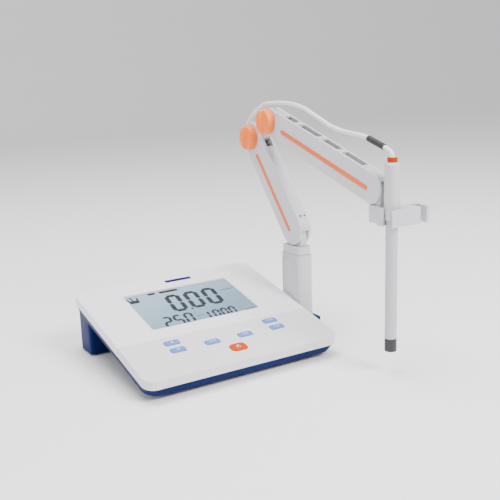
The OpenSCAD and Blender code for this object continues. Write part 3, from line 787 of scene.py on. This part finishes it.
    def key_tops(self) -> None:
        """Keys with a pillowed top, a darker skirt painted as the shade round each key, and a printed mark."""
        for name, (x, y) in self.keys.items():
            power = name == "power_key"
            wide, deep, radius = self.power_size if power else self.key_size
            rings = pad_rings(wide, deep, radius, -5 * MM, self.key_proud - 0.25 * MM, 0.8 * MM, 0.25 * MM)
            top_look, shade_rim_look = (Look.POWER, Look.POWER) if power else (Look.KEY, Look.KEY_RIM)
            cap = lofted(name + "_top", self.on_plate(shift(rings, x * MM, y * MM)), top_look)
            settle(cap, name)
            # The skirt's darker blue is painted shade round the key.
            shade_skirt = pad_rings(wide + 0.5 * MM, deep + 0.5 * MM, radius + 0.2 * MM, -4.6 * MM, -0.25 * MM,
                              0.2 * MM, 0.0)
            rim = lofted(name + "_skirt", self.on_plate(shift(shade_skirt, x * MM, y * MM)), shade_rim_look)
            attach(rim, name)
            bars = []
            for outline in self.legend(name):
                levels = (self.key_proud - 0.5 * MM, self.key_proud + 0.02 * MM)
                pair = [np.column_stack([outline, np.full(len(outline), level)]) for level in levels]
                bars.append(self.on_plate(shift(np.array(pair), x * MM, y * MM)))
            mark = prisms(name + "_mark", bars, Look.LEGEND)
            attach(mark, name)

    def sockets(self) -> None:
        """Rear sockets, plug and their finishes."""
        softened("electrode_socket", Look.NICKEL, 0.2 * MM)
        softened("probe_socket", Look.BLACK, 0.3 * MM)
        softened("power_inlet", Look.BLACK, 0.3 * MM)
        softened("data_socket", Look.NICKEL, 0.15 * MM)

    def build(self) -> None:
        """Makes the console."""
        self.shell()
        self.readout()
        self.bezel()
        self.key_tops()
        self.sockets()


# ---------- arm ----------


@dataclass
class Arm:
    """The side arm: bracket, column, two arms, link, knobs and holder."""

    knob_ribs: int = 26
    knob_sides: int = 208

    def frame_parts(self) -> None:
        """The arm's mouldings, each with its own edge radius."""
        mouldings = (
            ("arm_bracket", Look.CASING, 1.0),
            ("column", Look.ARM, 0.5),
            ("turret", Look.ARM, 0.5),
            ("lower_arm", Look.ARM, 0.8),
            ("lower_cover", Look.ARM_COVER, 0.9),
            ("link", Look.ARM, 0.8),
            ("upper_arm", Look.ARM, 0.8),
            ("upper_cover", Look.ARM_COVER, 0.9),
            ("holder", Look.ARM, 1.6),
            ("clip_head", Look.ARM, 0.9),
            ("lower_stripe", Look.STRIPE, 0.2),
            ("upper_stripe", Look.STRIPE, 0.2),
        )
        for node, look, edge in mouldings:
            softened(node, look, edge * MM)
        dress("swivel_bush", Look.ACETAL)
        for node in ("bracket_screws", "shoulder_pin", "lower_bolt", "upper_bolt", "wrist_pin"):
            dress(node, Look.SCREW)
        dress("arm_screws", Look.OXIDE)
        for node in ("lead_in_arm", "lead_in_column"):
            dress(node, Look.LEAD)
        dress("lead_grommet", Look.BLACK)

    def knob(self, node: str) -> None:
        """A clamp knob: a turned disc whose rim is fluted, with a blade-like grip raised across its face.

        The radius of each ring swells and shrinks with the cosine of the rib count times the angle, and the
        face rises towards the line through its middle as a narrow bell curve.
        """
        low, high = (np.array(c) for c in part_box(node))
        mid = (low + high) / 2
        thick, radius = high[0] - low[0], (high[1] - low[1]) / 2
        spin = np.linspace(0, math.tau, self.knob_sides, endpoint=False)
        rim = 1 - 0.012 * (1 + np.cos(self.knob_ribs * spin))
        section = [(0.97, 0.0, 0), (1.0, 0.05, 1), (1.0, 0.48, 1), (0.985, 0.58, 1), (0.95, 0.64, 0.6)]
        rings = []
        for share, height, ribs in section:
            reach = radius * share * (1 + ribs * (rim - 1))
            out = np.full(self.knob_sides, height * thick)
            rings.append(np.stack([out, reach * np.cos(spin), reach * np.sin(spin)], axis=1))
        for share in np.linspace(0.93, 0.02, 30):
            y, z = radius * share * np.cos(spin), radius * share * np.sin(spin)
            dome = 0.64 + 0.15 * (1 - share**2)
            blade = (0.99 - dome) * np.exp(-((y / (0.13 * radius)) ** 4)) * (1 - share**6)
            rings.append(np.stack([(dome + blade) * thick, y, z], axis=1))
        points = np.array(rings)
        points[..., 0] = high[0] - points[..., 0]
        points[..., 1:] += mid[1:]
        settle(lofted(node + "_grip", points, Look.KNOB), node)

    def build(self) -> None:
        """Makes the arm."""
        self.frame_parts()
        self.knob("lower_knob")
        self.knob("upper_knob")


# ---------- electrode ----------


@dataclass
class Electrode:
    """The electrode: cap, collar, relief, stem and guarded tip, all turned round one upright axis."""

    def axis_point(self, node: str) -> tuple[Vector, float, float]:
        """The foot of a node's axis, its radius and its height."""
        low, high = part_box(node)
        foot = Vector(((low[0] + high[0]) / 2, (low[1] + high[1]) / 2, low[2]))
        return foot, (high[0] - low[0]) / 2, high[2] - low[2]

    def cap(self) -> None:
        """The cap: a straight barrel with a rounded shoulder and a shallow groove near its foot."""
        foot, r, tall = self.axis_point("electrode_cap")
        shoulder = quarter(2.2 * MM, 0.0, 8)
        profile = [(0.0, 0.0), (r - 0.5 * MM, 0.0), (r, 0.5 * MM), (r, 4 * MM), (r - 0.35 * MM, 4.5 * MM),
                   (r - 0.35 * MM, 5.5 * MM), (r, 6 * MM)]
        profile += [(r - inset, tall - 1.0 * MM - drop) for inset, drop in shoulder]
        profile += [(r - 3.2 * MM, tall - 0.2 * MM), (r - 3.6 * MM, tall), (0.0005 * MM, tall)]
        settle(turned("electrode_cap_barrel", np.array(profile), foot, Look.CAP), "electrode_cap")

    def collar(self) -> None:
        """The collar and the lead's relief, with rounded edges."""
        softened("electrode_collar", Look.COLLAR, 0.7 * MM)
        softened("lead_relief", Look.LEAD, 0.3 * MM)

    def stem(self) -> None:
        """The stem: a plain tube with a chamfered lower lip."""
        foot, r, tall = self.axis_point("electrode_stem")
        profile = np.array([(0.0, 0.0), (r - 0.4 * MM, 0.0), (r, 0.4 * MM), (r, tall * 0.6), (r, tall),
                            (0.0005 * MM, tall)])
        settle(turned("electrode_stem_tube", profile, foot, Look.STEM), "electrode_stem")

    def build(self) -> None:
        """Makes the electrode."""
        self.cap()
        self.collar()
        self.stem()
        softened("sensor_tip", Look.BLACK, 0.4 * MM)


# ---------- leads ----------


@dataclass
class Leads:
    """The lead: three runs over the arm, and the tail, coil and riser behind the console."""

    diameter: float = 4.8 * MM
    over_wrist: Sequence[Sequence[float]] = (
        (135, -263, 232.2), (135, -263, 234.5), (135, -262, 237), (135, -260, 239), (135, -256, 241), (135, -250, 243),
        (135, -238, 247), (135, -224, 251), (135, -212, 253), (135, -200, 254), (135, -188, 255), (135, -178, 256.5),
        (135, -168, 258.5), (135, -158, 261), (135, -147, 265))
    over_elbow: Sequence[Sequence[float]] = (
        (135, -147, 265), (135, -136, 269), (135, -124, 273.6), (135, -112, 278), (135, -99, 281), (135, -86, 283),
        (135, -72, 284), (135, -55, 284), (135, -37, 283))
    to_grommet: Sequence[Sequence[float]] = (
        (135, -37, 283), (135, -28, 282.4), (135, -16, 279), (135, -5, 274), (135, 6, 267), (135, 15, 259),
        (135, 20, 250), (135, 21, 241), (135, 18, 233), (135, 11, 224.5), (135, 2, 217), (135, -6, 211.5),
        (135, -14, 203.5))
    tail: Sequence[Sequence[float]] = (
        (128, -57, 8), (128, -50, 8), (128, -42, 6.5), (128, -34, 4), (128, -24, 2.4), (127, -12, 2.4), (126, 0, 2.4),
        (124, 14, 2.4), (119, 28, 2.4), (110, 40, 2.4), (99, 50, 2.4), (91, 61, 2.4), (87, 73, 2.4), (86, 86, 2.4))
    riser: Sequence[Sequence[float]] = (
        (38, 86, 9.6), (38, 78, 8.5), (37.5, 70, 8.5), (37, 63, 11.5), (36.5, 56, 17), (36, 49, 25), (36, 44, 30.5),
        (36, 39.7, 32))
    coil_mid: tuple[float, float] = (62, 90)
    coil_r: float = 24
    coil_turns: float = 1.5

    def run(self, name: str, points: Array, node: str, bodies: tuple[str, str],
            span: tuple[float, float, float, float], pieces: Sequence[object]) -> None:
        """One run of lead, laid in the model's frame in place of its CAD node.

        Args:
            name: the piece's name.
            points: its route in millimetres.
            node: the CAD node it stands for.
            bodies: not used.
            span: not used.
            pieces: not used.
        """
        route = smooth_route(points) * MM
        piece = tube(name, route, self.diameter / 2, Look.LEAD)
        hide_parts(node)
        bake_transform(piece)

    def sleeve(self) -> bpy.types.Object:
        """The black sleeve: a tube whose radius swells at each of its rings."""
        run = np.array([[135, -251, 242.7], [135, -225, 250.6]]) * MM
        along = np.linspace(0, 1, 73)[:, None]
        route = run[0] + (run[1] - run[0]) * along
        radius = 3.1 * MM + 0.27 * MM * np.cos(along[:, 0] * math.tau * 9) ** 2
        radius[[0, -1]] = 2.5 * MM
        piece = tube("lead_sleeve_ribbed", route, radius, Look.BLACK, 24)
        return settle(piece, "lead_sleeve")

    def rear(self) -> None:
        """The tail from the gland, its coil and the riser to the plug, as one tube."""
        turn = np.linspace(0.0, self.coil_turns * math.tau, 46)
        mid, r = np.array(self.coil_mid), self.coil_r
        rise = (self.diameter / 2 + self.diameter * turn / math.tau) / MM
        coil = np.column_stack([mid[0] + r * np.cos(turn), mid[1] + r * np.sin(turn), rise])
        points = np.vstack([np.array(self.tail), coil[1:-1], np.array(self.riser)])
        route = smooth_route(points, 4) * MM
        piece = tube("lead_tail_and_coil", route, self.diameter / 2, Look.LEAD)
        settle(piece, "lead_tail", "lead_coil", "lead_riser")
        plug = softened("lead_plug", Look.NICKEL, 0.4 * MM)
        tie = softened("coil_tie", Look.BLACK, 0.4 * MM)

    def build(self) -> None:
        """Makes every run."""
        sleeve = self.sleeve()
        self.run("lead_wrist_run", np.array(self.over_wrist), "lead_over_wrist", ("holder", "upper_arm"),
                 (-222, 251, -150, 264), [sleeve])
        self.run("lead_elbow_run", np.array(self.over_elbow), "lead_over_elbow", ("upper_arm", "link"),
                 (-120, 275, -40, 284), [])
        self.run("lead_grommet_run", np.array(self.to_grommet), "lead_to_grommet", ("link", "lower_arm"),
                 (-34, 283, 17, 245), [])
        self.rear()
        softened("lead_gland", Look.BLACK, 0.5 * MM)


# ---------- stage ----------


@dataclass
class Stage:
    """Pale floor, soft studio light and the camera."""

    azimuth: float = math.radians(-31.25)
    elevation: float = math.radians(13.2)
    roll: float = math.radians(-1.87)
    lens: float = 55.73
    eye: tuple[float, float, float] = (-0.4019, -0.8617, 0.3263)

    def camera(self) -> None:
        """The camera: its right, up and backward axes are the columns of its turn."""
        a, e, r = self.azimuth, self.elevation, self.roll
        right = np.array([math.cos(a), math.sin(a), 0.0])
        ahead = np.array([-math.sin(a) * math.cos(e), math.cos(a) * math.cos(e), -math.sin(e)])
        down = -np.cross(right, ahead)
        new_right = math.cos(r) * right - math.sin(r) * down
        new_down = math.sin(r) * right + math.cos(r) * down
        turn = Matrix(np.column_stack([new_right, -new_down, -ahead]).tolist()).to_4x4()
        data = bpy.data.cameras.new("camera")
        data.lens = self.lens
        data.sensor_width = 36.0
        data.clip_start = 0.01
        camera = bpy.data.objects.new("camera", data)
        camera.matrix_world = Matrix.Translation(Vector(self.eye)) @ turn
        bpy.context.scene.collection.objects.link(camera)
        bpy.context.scene.camera = camera

    def softbox(self, name: str, place: Vector, aim: Vector, size: float, power: float) -> None:
        """A square area light that faces a point."""
        data = bpy.data.lights.new(name, "AREA")
        data.size = size
        data.energy = power
        light = bpy.data.objects.new(name, data)
        light.location = place
        light.rotation_euler = (aim - place).to_track_quat("-Z", "Y").to_euler()
        bpy.context.scene.collection.objects.link(light)

    def floor(self) -> None:
        """A wide pale floor that curves up into a wall: a quarter circle carried sideways."""
        angle = np.linspace(0, math.pi / 2, 24)
        bend = np.stack([3.0 + 1.5 * np.sin(angle), 1.5 * (1 - np.cos(angle))], axis=1)
        outline = np.vstack([[-6.0, 0.0], bend, [4.5, 7.0]])
        sides = [np.column_stack([np.full(len(outline), x), outline]) for x in (-9.0, 9.0)]
        points = np.array(sides).transpose(1, 0, 2)
        shader = Shader("floor_pale")
        tone = shader.mix(shader.noise(0.4, 2.0), rgba((0.93, 0.93, 0.935)), rgba((0.95, 0.95, 0.955)))
        shader.set(Base_Color=tone, Roughness=0.6)
        mesh = bpy.data.meshes.new("floor")
        mesh.from_pydata(points.reshape(-1, 3).tolist(), [], grid_faces(len(outline), 2, closed=False))
        mesh.materials.append(shader.material)
        mesh.shade_smooth()
        floor = bpy.data.objects.new("floor", mesh)
        bpy.context.scene.collection.objects.link(floor)

    def world(self) -> None:
        """An even, nearly white sky."""
        world = bpy.data.worlds.new("studio")
        world.use_nodes = True
        background = world.node_tree.nodes["Background"]
        background.inputs["Color"].default_value = (1.0, 1.0, 1.0, 1.0)
        background.inputs["Strength"].default_value = 0.8
        bpy.context.scene.world = world

    def build(self) -> None:
        """Makes the stage."""
        self.camera()
        self.floor()
        self.world()
        aim = Vector((0.0, -0.08, 0.08))
        self.softbox("key_light", Vector((0.55, -1.35, 1.35)), aim, 0.8, 44.0)
        self.softbox("top_light", Vector((-0.1, 0.1, 2.0)), aim, 1.2, 50.0)
        self.softbox("left_light", Vector((-1.7, -0.3, 0.9)), aim, 0.9, 8.0)


def main() -> None:
    """Builds the stage, then the leads, then every sub-assembly, and reports each."""
    logging.basicConfig(level=logging.INFO)
    for assembly in (Stage(), Leads(), Console(), Arm(), Electrode()):
        before = len(bpy.data.objects)
        assembly.build()
        log.info("%s: %d pieces", type(assembly).__name__, len(bpy.data.objects) - before)


if __name__ == "__main__":
    main()
